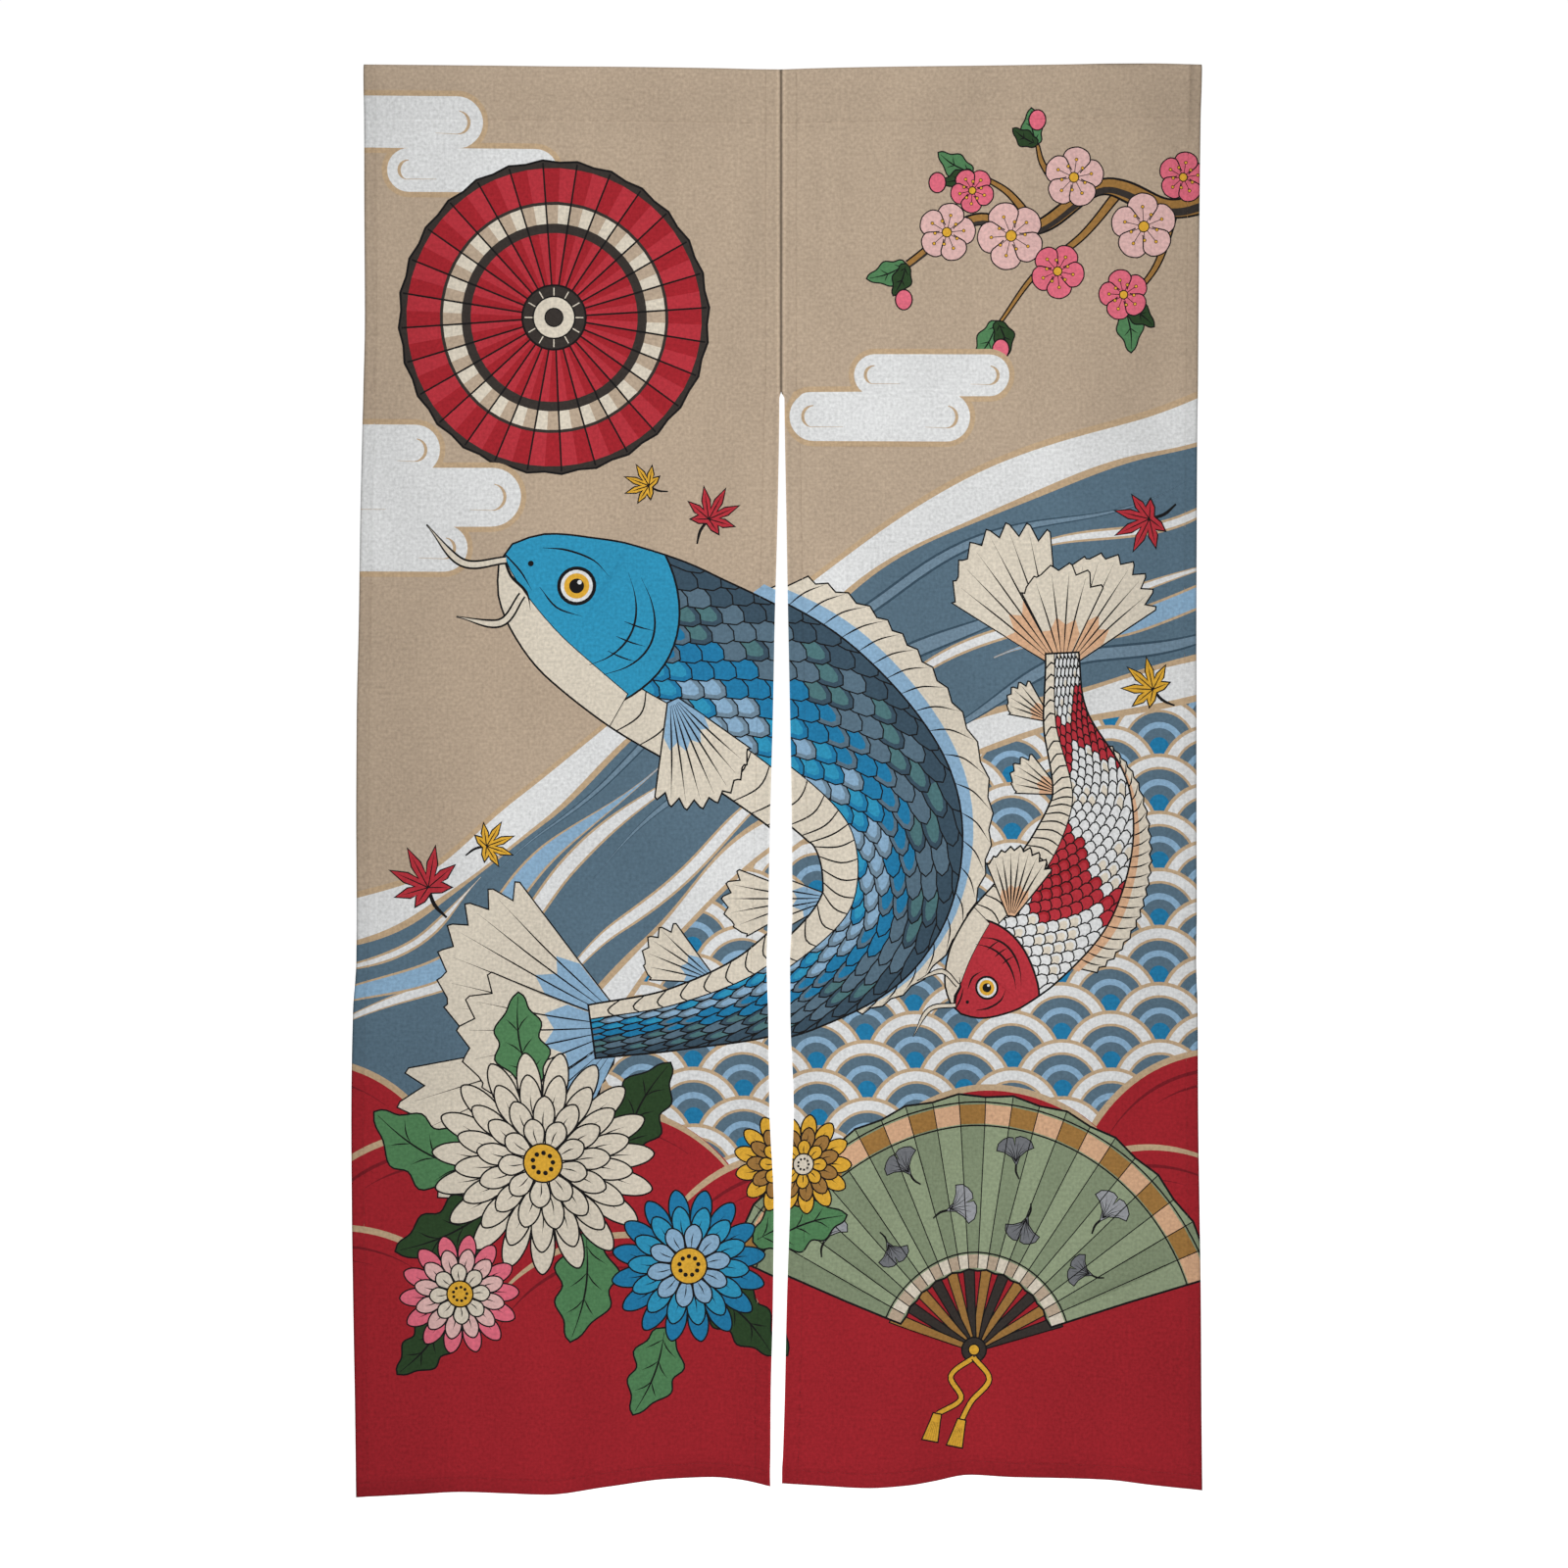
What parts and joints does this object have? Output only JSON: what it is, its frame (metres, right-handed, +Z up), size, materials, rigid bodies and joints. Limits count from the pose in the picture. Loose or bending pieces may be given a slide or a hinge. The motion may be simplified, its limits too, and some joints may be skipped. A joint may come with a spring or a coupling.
{
  "type": "noren curtain",
  "caption": "Split fabric door curtain: two printed cloths sewn together above a long centre slit, with a rod pocket along the top.",
  "frame": {"origin": "middle of the top edge, at the ridge of the rod pocket's fold, where the two cloths meet", "axes": "+Z up along the drop, +X across the doorway towards the right panel as seen from the front, +Y from the printed front to the back"},
  "size_m": [0.8657, 0.0411, 1.4582],
  "materials": {
    "left_cloth": "matt plain-woven linen-look cloth, printed",
    "right_cloth": "matt plain-woven linen-look cloth, printed"
  },
  "bodies": {
    "root": {"left_panel": "left_cloth", "right_panel": "right_cloth"}
  },
  "joints": []
}
